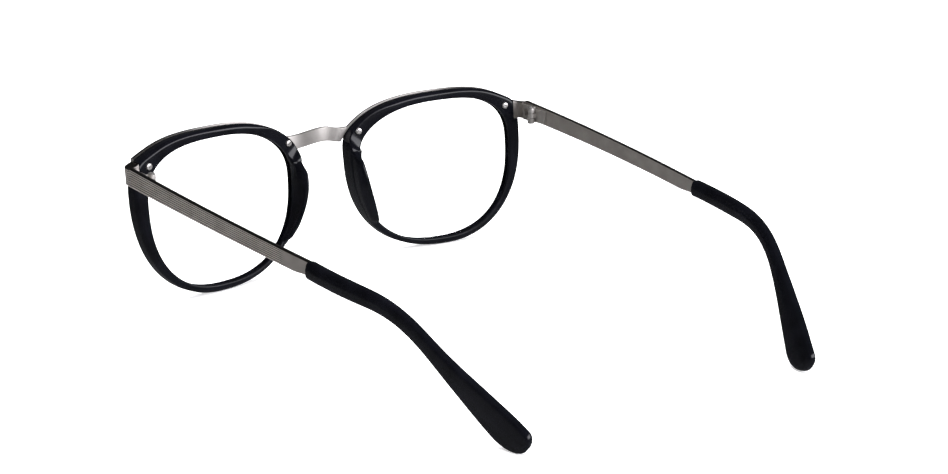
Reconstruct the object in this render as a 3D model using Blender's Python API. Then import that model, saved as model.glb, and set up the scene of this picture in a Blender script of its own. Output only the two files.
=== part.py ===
"""Full-rim eyeglasses with folding temples, modelled as separate pieces.

Two acetate rims are screwed to a metal brow: a bar over each eye, a bridge between the bars and
an endpiece at each outer corner.  Barrel hinges carry grooved metal temples that end in acetate tips.

Lengths are in millimetres and are scaled to metres where a mesh is made.  +X is the wearer's left,
the front faces -Y, the temples run to +Y and +Z is up.  The left half is built, then mirrored.
"""
import math
from collections import namedtuple

import bmesh
import bpy
from mathutils import Matrix, Vector

MM = 0.001
GAP = 0.2                      # clearance kept between pieces that touch on the real object

# ---- the whole frame -------------------------------------------------------------------------
MID_DEPTH = 71.559             # from the bridge line back to the middle of the whole depth
RIM_CENTRE_HEIGHT = 27.038     # height of the rims' reference point above the table
TILT = math.radians(4.9)       # the rims lean: their tops stand further forward than their bottoms
WRAP_START = 12.0              # the rim surface is measured from this distance off the middle
WRAP_SLOPE = 0.185             # how fast the rims sweep back there
WRAP_EASE = 0.00091            # how fast that sweep flattens towards the temples

# ---- rims and lenses -------------------------------------------------------------------------
Outline = namedtuple("Outline", "x z temporal nasal up down rounding")
# rounding: superellipse exponents of the upper outer, upper nasal, lower nasal and lower outer quarters
OPENING = Outline(34.71, -1.71, 22.3, 24.2, 14.47, 23.94, (2.75, 2.28, 2.41, 2.4))
OUTSIDE = Outline(35.9, -0.45, 24.6, 28.0, 15.65, 27.08, (2.8, 2.48, 2.33, 2.17))
# where the outline swells to carry the endpiece and the bridge: turn and spread in degrees, and how far
SWELLS = ((26, 15, Vector((0.81, 0.95))), (162, 13, Vector((-0.6, 0.1))))
RIM_DEPTH = 3.48               # front face to back face
RIM_ROUND = 0.7                # outer edges
BORE_ROUND = 0.45              # edges of the lens opening
RIM_STATIONS = 80
NASAL_BUILD = 1.7              # extra depth of the rim where the nose pad starts
GROOVE_FRONT, GROOVE_BACK = 0.84, 2.64
LENS_GROOVE = 0.75             # depth of the groove that holds the lens
LENS_REACH = 0.5               # how far the lens goes into it
LENS_THICKNESS = 1.4
LENS_BULGE = 1.5               # how far the middle of the lens stands forward of its edge
LENS_STATIONS = 48

# ---- nose pads -------------------------------------------------------------------------------
PAD_TOP, PAD_BOTTOM = 2.2, -19.5
PAD_RIDGE_HALF = 1.2           # radius of the rounded ridge that meets the nose
PAD_STATIONS = 13

# ---- brow and bridge -------------------------------------------------------------------------
BROW_FRONT = -1.2              # depth of the bar's front face, ahead of the rim's front face
BROW_INSET = 0.5               # from the lens opening to the bar's lower edge
BROW_PROUD = 0.2               # how far the bar stands above the rim's outer edge
BROW_EDGE = 0.25
BROW_TURNS = (math.radians(16), math.radians(163))
BROW_STATIONS = 44
BRIDGE_HEIGHT = 3.89
BRIDGE_THICKNESS = 1.2
BRIDGE_REACH = (7.3, 9.5)      # half length along its lower and its upper edge
BRIDGE_END = (-1.13, 33.4)     # y and z of its centre line at its ends
BRIDGE_RISE = (2.85, 1.82)     # y and z gained at the middle
BRIDGE_FOOT = 9.0              # the rise starts this far off the middle
BRIDGE_STATIONS = 25

# ---- endpieces, temples and tips -------------------------------------------------------------
NOTCH_X = 58.5                 # inner wall of the notch in the rim that the endpiece fills
NOTCH_FLOOR = 4.5
ENDPIECE_FLOOR = 4.7
ENDPIECE_TOP = 9.2
JOINT_DEPTH = 11.85            # where the endpiece ends and the temple starts
FLUTES = 7                     # grooves along the outer faces
FLUTE_DEPTH = 0.18
FLUTE_MARGIN = 0.3
TEMPLE_THICKNESS = 1.2
TEMPLE_END = 85.85
FLUTE_END = 75.0
LEAN_FADE = 14.0               # the end face's lean dies out over this length
TIP_START = Vector((57.5, 85.7, 29.54))
TIP_LENGTH = 67.25
TIP_ANGLES = (math.radians(-5.29), math.radians(-43.22))
TIP_BEND_AT, TIP_BEND_RADIUS = 29.6, 34.8
TIP_SIDES = 14
TIP_MOUTH = 0.4                # the tip and its core start here
TIP_ROUNDS = (2.2, 7.0)        # how far before the end its upper and lower edges start to close
TIP_NOSE = (0.9, 1.5)          # they close on a point this far outward and up
CORE_LENGTH = 50.0
CORE_HALF = (0.4, 0.75)        # half thickness and half height of the wire inside the tip

# ---- hinges and screws -----------------------------------------------------------------------
HINGE = Vector((59.2, 16.61, 0.0))
KNUCKLE_RADIUS = 0.98
KNUCKLE_BORE = 0.56
PIN_RADIUS = 0.5
KNUCKLES = ((32.48, 33.83), (33.98, 35.28), (35.43, 36.78))     # heights; the middle one is the temple's
LEAF = (60.45, 61.08)          # inner and outer face of the front leaf and its arms
LEAF_SPAN = (4.4, 8.7)         # the front leaf's bottom and top above the rims' centre
RIM_SCREWS = {"nasal": (11.1, 7.25), "temporal": (55.85, 8.73)}
SCREW_HEAD = (0.85, 0.45)
SCREW_SHANK = 0.5
SCREW_BITE = 0.4               # how far the shank goes into the brow bar
SLOT = (0.28, 0.2)             # width and depth of the screwdriver slots

BLACK_ACETATE = ("black_acetate", (0.012, 0.014, 0.022), 0.12, 0.0)
GUNMETAL = ("gunmetal", (0.42, 0.39, 0.37), 0.34, 1.0)
SATIN_SILVER = ("satin_silver", (0.72, 0.70, 0.68), 0.28, 1.0)
STEEL = ("steel", (0.78, 0.77, 0.76), 0.22, 1.0)
CLEAR_LENS = ("clear_lens", (0.97, 0.98, 0.98), 0.02, 0.0)


# ---- scene, objects and materials ------------------------------------------------------------
def clear_scene():
    for thing in list(bpy.data.objects):
        bpy.data.objects.remove(thing, do_unlink=True)


def material(recipe):
    name, colour, roughness, metallic = recipe
    if name in bpy.data.materials:
        return bpy.data.materials[name]
    made = bpy.data.materials.new(name)
    made.use_nodes = True
    shader = made.node_tree.nodes["Principled BSDF"]
    shader.inputs["Base Color"].default_value = (*colour, 1.0)
    shader.inputs["Roughness"].default_value = roughness
    shader.inputs["Metallic"].default_value = metallic
    if name == "clear_lens":
        shader.inputs["Transmission Weight"].default_value = 1.0
        shader.inputs["IOR"].default_value = 1.5
    return made


def new_object(name, bm):
    bmesh.ops.recalc_face_normals(bm, faces=bm.faces[:])
    mesh = bpy.data.meshes.new(name)
    bm.to_mesh(mesh)
    bm.free()
    made = bpy.data.objects.new(name, mesh)
    bpy.context.scene.collection.objects.link(made)
    return made


def skin(name, rings, ring_closed=False):
    """Joins rings of points, each with as many points, and caps both ends unless they meet."""
    bm = bmesh.new()
    loops = []
    for ring in rings:
        loops.append([bm.verts.new(Vector(point) * MM) for point in ring])
    pairs = list(zip(loops, loops[1:]))
    if ring_closed:
        pairs.append((loops[-1], loops[0]))
    for first, second in pairs:
        for i in range(len(first)):
            bm.faces.new((first[i - 1], first[i], second[i], second[i - 1]))
    if not ring_closed:
        bm.faces.new(loops[0])
        bm.faces.new(loops[-1])
    return new_object(name, bm)


def box(name, low, high):
    bm = bmesh.new()
    size = [(b - a) * MM for a, b in zip(low, high)]
    centre = [(a + b) / 2 * MM for a, b in zip(low, high)]
    bmesh.ops.create_cube(bm, size=1.0, matrix=Matrix.Translation(centre) @ Matrix.Diagonal((*size, 1.0)))
    return new_object(name, bm)


def leaning_box(name, low, high):
    """A box in the front's own leaning directions: x, depth behind the front, height."""
    made = box(name, low, high)
    lean = Matrix.Rotation(TILT, 4, "X")
    made.data.transform(Matrix.Translation(Vector((0, -MID_DEPTH, RIM_CENTRE_HEIGHT)) * MM) @ lean)
    return made


def cylinder(name, radius, bottom, top, place=Matrix(), top_radius=None, sides=16):
    """A cylinder or cone along the local Z of place, a matrix in millimetres."""
    bm = bmesh.new()
    upper = radius if top_radius is None else top_radius
    bmesh.ops.create_cone(bm, cap_ends=True, segments=sides, radius1=radius * MM, radius2=upper * MM,
                          depth=(top - bottom) * MM)
    to_place = place @ Matrix.Translation((0, 0, (bottom + top) / 2))
    to_place.translation *= MM
    bmesh.ops.transform(bm, matrix=to_place, verts=bm.verts[:])
    return new_object(name, bm)


def combine(target, other, operation):
    """Unites target with other or cuts other out of it, and uses other up."""
    modifier = target.modifiers.new(operation.lower(), "BOOLEAN")
    modifier.object = other
    modifier.operation = operation
    modifier.solver = "EXACT"
    bpy.context.view_layer.update()
    evaluated = target.evaluated_get(bpy.context.evaluated_depsgraph_get())
    mesh = bpy.data.meshes.new_from_object(evaluated)
    target.modifiers.clear()
    target.data = mesh
    bpy.data.objects.remove(other, do_unlink=True)
    return target


def mirrored(source, name):
    bm = bmesh.new()
    bm.from_mesh(source.data)
    bmesh.ops.scale(bm, vec=(-1, 1, 1), verts=bm.verts[:])
    bmesh.ops.reverse_faces(bm, faces=bm.faces[:])
    return new_object(name, bm)


def dress(piece, recipe, collection, hinge=None):
    """Gives a finished piece its material and collection, and hangs it on its hinge if it moves."""
    piece.data.materials.clear()
    piece.data.materials.append(material(recipe))
    piece.data.shade_smooth()
    piece.data.set_sharp_from_angle(angle=math.radians(35))
    for holder in piece.users_collection:
        holder.objects.unlink(piece)
    collection.objects.link(piece)
    if hinge:
        piece.data.transform(Matrix.Translation(-hinge.location))
        piece.parent = hinge


# ---- surfaces and curves that several pieces follow ------------------------------------------
def on_front(x, z, depth):
    """A point depth behind the rims' front surface, x off the middle and z above their centre."""
    along = x - WRAP_START
    back = WRAP_SLOPE * along - WRAP_EASE * along * along + depth
    return tilted(x, back, z)


def tilted(x, back, z):
    y = back * math.cos(TILT) - z * math.sin(TILT)
    up = back * math.sin(TILT) + z * math.cos(TILT)
    return Vector((x, y - MID_DEPTH, up + RIM_CENTRE_HEIGHT))


def smooth_step(value, start, end):
    """0 before start, 1 past end, and an even curve between them."""
    share = min(1.0, max(0.0, (value - start) / (end - start)))
    return share * share * (3 - 2 * share)


def outline_point(outline, turn):
    cosine, sine = math.cos(turn), math.sin(turn)
    upper = sine > 0
    outer = cosine > 0
    quarter = (0 if outer else 1) if upper else (3 if outer else 2)
    power = 2 / outline.rounding[quarter]
    x = math.copysign(abs(cosine) ** power, cosine) * (outline.temporal if outer else outline.nasal)
    z = math.copysign(abs(sine) ** power, sine) * (outline.up if upper else outline.down)
    return Vector((outline.x + x, outline.z + z))


def outside_point(turn):
    point = outline_point(OUTSIDE, turn)
    for middle, spread, swell in SWELLS:
        away = math.remainder(turn - math.radians(middle), 2 * math.pi) / math.radians(spread)
        point += swell * math.exp(-away * away)
    return point


def rim_back(point):
    """Depth of the rim's back face: it builds up towards the nose pad."""
    down_to_pad = smooth_step(-point.y, -6.2, -PAD_TOP)
    below_pad = smooth_step(point.y, -19.0, -14.0)
    under_pad = smooth_step(-point.x, -20.0, -14.0)
    above_pad = smooth_step(-point.x, -13.0, -8.0)
    nasal_side = under_pad + (above_pad - under_pad) * smooth_step(point.y, 1.5, 3.0)
    return RIM_DEPTH + NASAL_BUILD * down_to_pad * below_pad * nasal_side


def across_rim(turn):
    """The opening's edge, the direction from it to the outside, and the rim's width."""
    inner = outline_point(OPENING, turn)
    across = outside_point(turn) - inner
    return inner, across.normalized(), across.length


# ---- rims, lenses, pads ----------------------------------------------------------------------
def draft(turn, inner_x, outward, depth):
    """How far out the rim's temporal side stands: the front more than the back, most by the endpiece."""
    away = math.remainder(turn - math.radians(3), 2 * math.pi) / math.radians(13)
    by_endpiece = 0.3 * outward * (1 - depth / RIM_DEPTH) * math.exp(-away * away)
    return smooth_step(inner_x, 38, 54) * (0.3 - 0.16 * depth) + by_endpiece


def rim_section(turn):
    inner, across, width = across_rim(turn)
    r, b = RIM_ROUND, BORE_ROUND
    soft = b + 0.3 * smooth_step(inner.y, 0.5, 3.0) * smooth_step(-inner.x, -24.0, -18.0)
    ring = []
    for out, depth, from_back in (
            (b, 0, False), (width - r, 0, False), (width - 0.3 * r, 0.3 * r, False), (width, r, False),
            (width, r, True), (width - 0.3 * r, 0.3 * r, True), (width - r, 0, True), (soft, 0, True),
            (0.3 * soft, 0.3 * soft, True), (0, soft, True), (0, GROOVE_BACK, False),
            (LENS_GROOVE, GROOVE_BACK, False), (LENS_GROOVE, GROOVE_FRONT, False), (0, GROOVE_FRONT, False),
            (0, b, False), (0.3 * b, 0.3 * b, False)):
        point = inner + across * out
        if from_back:
            depth = rim_back(point) - depth
        shift = draft(turn, inner.x, out / width, depth)
        ring.append(on_front(point.x + shift, point.y, depth))
    return ring


def make_rim():
    turns = [2 * math.pi * i / RIM_STATIONS for i in range(RIM_STATIONS)]
    rim = skin("rim_left", [rim_section(turn) for turn in turns], ring_closed=True)
    notch = leaning_box("notch", (NOTCH_X, -5, NOTCH_FLOOR), (NOTCH_X + 6, 20, NOTCH_FLOOR + 12))
    combine(rim, notch, "DIFFERENCE")
    for x, z in RIM_SCREWS.values():
        combine(rim, screw_hole(x, z, RIM_DEPTH + 4), "DIFFERENCE")
    return rim


def make_lens():
    turns = [2 * math.pi * i / LENS_STATIONS for i in range(LENS_STATIONS)]
    middle = Vector((OPENING.x, OPENING.z))
    front = GROOVE_FRONT + GAP
    rings = []
    for share, depth in ((0.3, front), (0.65, front), (0.9, front), (1.0, front), (1.0, front + LENS_THICKNESS),
                         (0.9, front + LENS_THICKNESS), (0.65, front + LENS_THICKNESS),
                         (0.3, front + LENS_THICKNESS)):
        ring = []
        for turn in turns:
            inner, across, _ = across_rim(turn)
            point = middle + (inner + across * LENS_REACH - middle) * share
            ring.append(on_front(point.x, point.y, depth - LENS_BULGE * (1 - share * share)))
        rings.append(ring)
    return skin("lens_left", rings)


def pad_ridge(z):
    """Where the pad's ridge runs at height z: its distance off the middle and its depth."""
    below = PAD_TOP - z
    x = 8.65 + 0.0175 * below * below - 0.0002 * below ** 3
    depth = 8.4 - 0.04 * (z + 5.5) ** 2 * (1.0 if z > -5.5 else 0.68)
    return x, depth


def nasal_edge(outline, z):
    """Distance off the middle of an outline's nasal side at height z."""
    up = z > outline.z
    power = outline.rounding[1 if up else 2]
    reach = abs(z - outline.z) / (outline.up if up else outline.down)
    return outline.x - outline.nasal * (1 - reach ** power) ** (1 / power)


def make_nose_pad():
    rings = []
    for i in range(PAD_STATIONS):
        z = PAD_TOP + (PAD_BOTTOM - PAD_TOP) * i / (PAD_STATIONS - 1)
        ridge_x, ridge = pad_ridge(z)
        end = min(1.0, 0.45 + 0.9 * min(i, PAD_STATIONS - 1 - i))
        nose_x = nasal_edge(OUTSIDE, z) + 0.45
        eye_x = nasal_edge(OPENING, z) - 0.35
        base = rim_back(Vector((nose_x, z))) + GAP
        crest = base + (ridge + PAD_RIDGE_HALF - base) * end
        half = min(PAD_RIDGE_HALF, (eye_x - nose_x) / 2)
        section = [(nose_x, base), (nose_x + 0.05, base + 0.35 * (crest - base)),
                   (ridge_x - half, crest - 0.9 * half * end), (ridge_x - 0.6 * half, crest - 0.22 * half),
                   (ridge_x, crest), (ridge_x + 0.6 * half, crest - 0.22 * half),
                   (ridge_x + half, crest - 0.9 * half * end), (eye_x - 0.05, base + 0.35 * (crest - base)),
                   (eye_x, base)]
        rings.append([on_front(x, z, depth) for x, depth in section])
    return skin("nose_pad_left", rings)


# ---- brow, bridge and endpiece ---------------------------------------------------------------
def make_brow_bar():
    rings = []
    for i in range(BROW_STATIONS):
        turn = BROW_TURNS[0] + (BROW_TURNS[1] - BROW_TURNS[0]) * i / (BROW_STATIONS - 1)
        inner, across, width = across_rim(turn)
        ring = []
        top = width + BROW_PROUD
        for out, depth in ((BROW_INSET, -GAP), (top, -GAP), (top, BROW_FRONT + BROW_EDGE),
                           (top - BROW_EDGE, BROW_FRONT), (BROW_INSET + BROW_EDGE, BROW_FRONT),
                           (BROW_INSET, BROW_FRONT + BROW_EDGE)):
            point = inner + across * out
            ring.append(on_front(point.x + draft(turn, inner.x, out / width, depth), point.y, depth))
        rings.append(ring)
    bar = skin("brow_bar_left", rings)
    low = (NOTCH_X, -80, 20)
    combine(bar, box("past_endpiece", low, (NOTCH_X + 6, 0, 50)), "DIFFERENCE")
    for x, z in RIM_SCREWS.values():
        combine(bar, screw_hole(x, z, RIM_DEPTH), "DIFFERENCE")
    return bar


def make_bridge():
    rings = []
    for i in range(BRIDGE_STATIONS):
        side = 2 * i / (BRIDGE_STATIONS - 1) - 1
        ring = []
        for deep, high in ((-0.5, -0.35), (-0.5, 0.35), (-0.3, 0.5), (0.3, 0.5),
                           (0.5, 0.35), (0.5, -0.35), (0.3, -0.5), (-0.3, -0.5)):
            low_reach, high_reach = BRIDGE_REACH
            x = side * (low_reach + (high_reach - low_reach) * (high + 0.5))
            rise = max(0.0, 1 - (x / BRIDGE_FOOT) ** 2) ** 3
            y = BRIDGE_END[0] + BRIDGE_RISE[0] * rise + deep * BRIDGE_THICKNESS - MID_DEPTH
            z = BRIDGE_END[1] + BRIDGE_RISE[1] * rise + high * BRIDGE_HEIGHT
            ring.append((x, y, z))
        rings.append(ring)
    return skin("bridge", rings)


def fluted_side(flute_depth):
    """Heights (0 to 1) and inward steps (mm) of the points up a fluted face."""
    points = [(0.0, 0.15), (0.035, 0.0)]
    margin = 0.07
    pitch = (1 - 2 * margin) / FLUTES
    for k in range(FLUTES):
        start = margin + k * pitch
        for share, depth in ((0.22, 0), (0.36, flute_depth), (0.64, flute_depth), (0.78, 0)):
            points.append((start + share * pitch, depth))
    points += [(0.965, 0.0), (1.0, 0.15)]
    return points


def make_endpiece():
    """Each station joins a point of the outer curve to a point of the inner faces, seen from above."""
    stations = (((58.7, 5.46), (58.7, 9.95), 9.9), ((59.9, 5.72), (59.2, 9.95), 9.55),
                ((60.85, 6.45), (59.7, 9.95), 9.35), ((61.45, 7.5), (60.1, 9.95), 9.25),
                ((61.85, 8.8), (60.41, 9.98), ENDPIECE_TOP), ((62.15, 10.1), (60.41, 10.6), ENDPIECE_TOP),
                ((62.48, JOINT_DEPTH), (60.41, JOINT_DEPTH), ENDPIECE_TOP))
    rings = []
    for i, (outer, inner, top) in enumerate(stations):
        start, end = Vector(outer), Vector(inner)
        inward = (end - start).normalized()
        ring = []
        for share, step in fluted_side(FLUTE_DEPTH * min(1, i)):
            point = start + inward * step
            ring.append(tilted(point.x, point.y, ENDPIECE_FLOOR + (top - ENDPIECE_FLOOR) * share))
        for share in (1, 0):
            ring.append(tilted(end.x, end.y, ENDPIECE_FLOOR + (top - ENDPIECE_FLOOR) * share))
        rings.append(ring)
    return skin("endpiece_left", rings)


# ---- temple and tip --------------------------------------------------------------------------
def temple_line(y):
    """Centre distance off the middle, bottom and top height of the temple bar at y."""
    t = (y - 50) / 40
    x = 60.47 - 2.46 * t - 1.03 * t * t
    bottom = 30.343 - 2.81 * t - 0.35 * t * t + 0.45 * smooth_step(y, 80, TEMPLE_END)
    top = 34.503 - 3.3 * t - 0.19 * t * t
    return x, bottom, top


def make_temple():
    start = JOINT_DEPTH * math.cos(TILT) - 7 * math.sin(TILT) + GAP
    stations = [start, 14, 17, 22, 29, 36, 43, 50, 57, 64, 70, FLUTE_END - 1, FLUTE_END + 1, 79, 82, TEMPLE_END]
    rings = []
    for y in stations:
        x, bottom, top = temple_line(y)
        depth = FLUTE_DEPTH * (1 - smooth_step(y, FLUTE_END - 2, FLUTE_END))
        lean = math.tan(TILT) * (1 - smooth_step(y, start, start + LEAN_FADE))
        ring = []
        sides = [(share, TEMPLE_THICKNESS / 2 - step) for share, step in fluted_side(depth)]
        for share, out in sides + [(1, -TEMPLE_THICKNESS / 2), (0, -TEMPLE_THICKNESS / 2)]:
            up = (top - bottom) * (share - 0.5)
            ring.append((x + out, y - lean * up - MID_DEPTH, (bottom + top) / 2 + up))
        rings.append(ring)
    return skin("temple_left", rings)


def tip_frame(distance, steps=120):
    """Centre and unit directions (outward, up) of the tip at a distance along it."""
    half = abs(TIP_BEND_RADIUS * (TIP_ANGLES[0] - TIP_ANGLES[1]) / 2)
    centre = TIP_START.copy()
    angle = TIP_ANGLES[0]
    length = distance / steps
    for i in range(steps):
        along = (i + 0.5) * length
        bend = smooth_step(along, TIP_BEND_AT - half, TIP_BEND_AT + half)
        angle = TIP_ANGLES[0] + (TIP_ANGLES[1] - TIP_ANGLES[0]) * bend
        centre += Vector((0, math.cos(angle), math.sin(angle))) * length
    u = distance / 60
    centre.x += -1.16 * u - 15.17 * u * u + 2.18 * u ** 3 + 0.3 * smooth_step(distance, 50, 66)
    curl = (-1.16 - 30.34 * u + 6.54 * u * u) / 60
    along = Vector((curl, math.cos(angle), math.sin(angle))).normalized()
    up = Vector((-0.02 * u, -math.sin(angle), math.cos(angle)))
    outward = along.cross(up).normalized()
    centre.y -= MID_DEPTH
    return centre, outward, outward.cross(along).normalized()


def tip_edges(distance):
    """Heights of the tip's lower and upper edge: slim along the ear, then a paddle with a blunt end."""
    half = 2.15 - 0.15 * smooth_step(distance, 14, 32) + 2.6 * smooth_step(distance, 35, 66)
    upper, lower = [1 - 0.98 * tip_closing(distance, rounding) for rounding in TIP_ROUNDS]
    return TIP_NOSE[1] - (half + TIP_NOSE[1]) * lower, TIP_NOSE[1] + (half - TIP_NOSE[1]) * upper


def tip_half_thickness(distance):
    return (1.55 - 0.25 * smooth_step(distance, 10, 32)) * (1 - 0.8 * tip_closing(distance, 1.5))


def tip_closing(distance, rounding):
    """0 along the tip, then following a quarter circle to 1 at its end."""
    past = max(0.0, (rounding - TIP_LENGTH + distance) / rounding)
    return 1 - math.sqrt(max(0.0, 1 - past * past))


def oval(distance, half_x, low, high, out=0.0):
    """A rounded oblong across the tip, from low to high, its middle moved outward by out."""
    centre, outward, up = tip_frame(distance)
    centre += outward * out + up * (low + high) / 2
    ring = []
    for i in range(TIP_SIDES):
        turn = 2 * math.pi * (i + 0.5) / TIP_SIDES
        cosine, sine = math.cos(turn), math.sin(turn)
        x = math.copysign(abs(cosine) ** 0.7, cosine) * half_x
        z = math.copysign(abs(sine) ** 0.7, sine) * (high - low) / 2
        ring.append(centre + outward * x + up * z)
    return ring


def make_tip():
    """One skin from the rear end forwards over the outside, then back inside to the bore's end."""
    distances = [TIP_LENGTH, 67, 66.3, 65.2, 63.5, 61.5, 58.5, 55, 50, 45, 40, 36, 32, 28, 24, 20, 15, 10, 5, 1.5]
    rings = []
    for s in distances:
        out = TIP_NOSE[0] * tip_closing(s, TIP_ROUNDS[1])
        rings.append(oval(s, tip_half_thickness(s), *tip_edges(s), out))
    for s, share in ((TIP_MOUTH + 0.35, 0.96), (TIP_MOUTH, 0.82)):
        low, high = tip_edges(s)
        rings.append(oval(s, tip_half_thickness(s) * share, low * share, high * share))
    half_x, half_z = [half + GAP for half in CORE_HALF]
    for s in (TIP_MOUTH, 8, 16, 21, 26, 30, 34, 38, 44, CORE_LENGTH + 0.5):
        rings.append(oval(s, half_x, -half_z, half_z))
    return skin("temple_tip_left", rings)


def make_core_wire():
    distances = (TIP_MOUTH, 8, 16, 21, 26, 30, 34, 38, 44, CORE_LENGTH)
    half_x, half_z = CORE_HALF
    return skin("core_wire_left", [oval(s, half_x, -half_z, half_z) for s in distances])


# ---- hinges and screws -----------------------------------------------------------------------
def hinge_place():
    return Matrix.Translation(HINGE - Vector((0, MID_DEPTH, 0)))


def make_front_hinge():
    """A leaf on the endpiece with an arm and a knuckle at the top and at the bottom."""
    axis = HINGE.y - MID_DEPTH
    seat = JOINT_DEPTH + GAP
    hinge = leaning_box("hinge_front_left", (LEAF[0], seat, LEAF_SPAN[0]), (LEAF[1], seat + 0.9, LEAF_SPAN[1]))
    for bottom, top in (KNUCKLES[0], KNUCKLES[2]):
        arm = box("arm", (LEAF[0], 12.0 - MID_DEPTH, bottom), (LEAF[1], axis - 0.1, top))
        web = box("web", (HINGE.x, axis - 0.8, bottom), (LEAF[1], axis - 0.1, top))
        knuckle = cylinder("knuckle", KNUCKLE_RADIUS, bottom, top, hinge_place())
        combine(hinge, arm, "UNION")
        combine(hinge, web, "UNION")
        combine(hinge, knuckle, "UNION")
    return combine(hinge, cylinder("bore", KNUCKLE_BORE, 30, 40, hinge_place()), "DIFFERENCE")


def make_rear_hinge():
    """A leaf on the temple with the middle knuckle."""
    axis = HINGE.y - MID_DEPTH
    bottom, top = KNUCKLES[1]
    leaf_x = temple_line(HINGE.y + 4.6)[0] - TEMPLE_THICKNESS / 2 - GAP
    hinge = box("hinge_rear_left", (HINGE.x + 1.2, axis + 0.35, KNUCKLES[0][0] + 0.2),
                (leaf_x, axis + 4.4, KNUCKLES[2][1] - 0.4))
    combine(hinge, box("web", (HINGE.x, axis + 0.1, bottom), (leaf_x, axis + 0.9, top)), "UNION")
    combine(hinge, cylinder("knuckle", KNUCKLE_RADIUS, bottom, top, hinge_place()), "UNION")
    return combine(hinge, cylinder("bore", KNUCKLE_BORE, 30, 40, hinge_place()), "DIFFERENCE")


def make_screw(name, place, head, shank_radius, shank_length):
    """A slotted round-head screw: the head stands on the local XY plane and the shank goes down."""
    head_radius, head_height = head
    screw = cylinder(name, head_radius, GAP / 2, head_height, place, top_radius=head_radius * 0.72)
    combine(screw, cylinder("shank", shank_radius, -shank_length, GAP, place), "UNION")
    slot = box("slot", (-2, -SLOT[0] / 2, head_height - SLOT[1]), (2, SLOT[0] / 2, head_height + 1))
    in_metres = place.copy()
    in_metres.translation *= MM
    slot.data.transform(in_metres)
    return combine(screw, slot, "DIFFERENCE")


def rim_place(x, z):
    """The rim's back surface at a screw: local Z points straight out of it."""
    seat = on_front(x, z, RIM_DEPTH)
    sideways = (on_front(x + 0.5, z, RIM_DEPTH) - on_front(x - 0.5, z, RIM_DEPTH)).normalized()
    upwards = (on_front(x, z + 0.5, RIM_DEPTH) - on_front(x, z - 0.5, RIM_DEPTH)).normalized()
    out = upwards.cross(sideways)
    turned = Matrix((sideways, out.cross(sideways), out)).transposed().to_4x4()
    return Matrix.Translation(seat) @ turned @ Matrix.Rotation(math.radians(35), 4, "Z")


def screw_hole(x, z, out):
    deep = RIM_DEPTH - GAP + SCREW_BITE + 0.25
    return cylinder("hole", SCREW_SHANK + GAP, -deep - GAP, out, rim_place(x, z))


def make_rim_screws():
    length = RIM_DEPTH + SCREW_BITE
    return {f"rim_screw_{spot}_left": make_screw("screw", rim_place(x, z), SCREW_HEAD, SCREW_SHANK, length)
            for spot, (x, z) in RIM_SCREWS.items()}


def make_hinge_screw():
    top = KNUCKLES[2][1]
    place = hinge_place() @ Matrix.Translation((0, 0, top)) @ Matrix.Rotation(math.radians(30), 4, "Z")
    return make_screw("hinge_screw_left", place, (0.8, 0.42), PIN_RADIUS, top - KNUCKLES[0][0] - 0.1)


# ---- assembly --------------------------------------------------------------------------------
def build():
    clear_scene()
    collection = bpy.data.collections.new("eyeglasses")
    bpy.context.scene.collection.children.link(collection)

    fixed = {
        "rim": (make_rim(), BLACK_ACETATE), "lens": (make_lens(), CLEAR_LENS),
        "nose_pad": (make_nose_pad(), BLACK_ACETATE), "brow_bar": (make_brow_bar(), SATIN_SILVER),
        "endpiece": (make_endpiece(), GUNMETAL), "hinge_front": (make_front_hinge(), SATIN_SILVER),
        "hinge_screw": (make_hinge_screw(), STEEL),
    }
    for name, screw in make_rim_screws().items():
        fixed[name.removesuffix("_left")] = (screw, STEEL)
    moving = {
        "temple": (make_temple(), GUNMETAL), "core_wire": (make_core_wire(), STEEL),
        "temple_tip": (make_tip(), BLACK_ACETATE), "hinge_rear": (make_rear_hinge(), SATIN_SILVER),
    }
    hinges = {}
    for side, sign in (("left", 1), ("right", -1)):
        hinge = bpy.data.objects.new(f"temple_{side}_hinge", None)
        hinge.location = Vector((sign * HINGE.x, HINGE.y - MID_DEPTH, 0)) * MM
        hinge.empty_display_size = 0.005
        collection.objects.link(hinge)
        hinges[side] = hinge
    bpy.context.view_layer.update()

    for pieces, moves in ((fixed, False), (moving, True)):
        for base, (left, recipe) in pieces.items():
            left.name = f"{base}_left"
            right = mirrored(left, f"{base}_right")
            dress(left, recipe, collection, hinges["left"] if moves else None)
            dress(right, recipe, collection, hinges["right"] if moves else None)
    dress(make_bridge(), SATIN_SILVER, collection)


build()
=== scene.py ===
import math
from collections import namedtuple

import bmesh
import bpy
from mathutils import Matrix, Vector


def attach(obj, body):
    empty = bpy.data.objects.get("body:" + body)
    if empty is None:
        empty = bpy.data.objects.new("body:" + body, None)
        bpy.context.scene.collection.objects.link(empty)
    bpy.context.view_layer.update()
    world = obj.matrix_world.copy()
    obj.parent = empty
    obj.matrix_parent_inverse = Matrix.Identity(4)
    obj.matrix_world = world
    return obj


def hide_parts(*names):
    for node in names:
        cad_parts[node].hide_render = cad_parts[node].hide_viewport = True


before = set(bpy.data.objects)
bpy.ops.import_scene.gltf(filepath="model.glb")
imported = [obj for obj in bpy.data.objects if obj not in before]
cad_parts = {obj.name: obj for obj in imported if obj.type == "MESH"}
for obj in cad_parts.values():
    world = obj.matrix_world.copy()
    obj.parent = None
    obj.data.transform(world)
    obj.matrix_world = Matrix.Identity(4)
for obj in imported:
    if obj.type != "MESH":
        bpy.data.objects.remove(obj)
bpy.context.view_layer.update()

MM = 0.001

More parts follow.
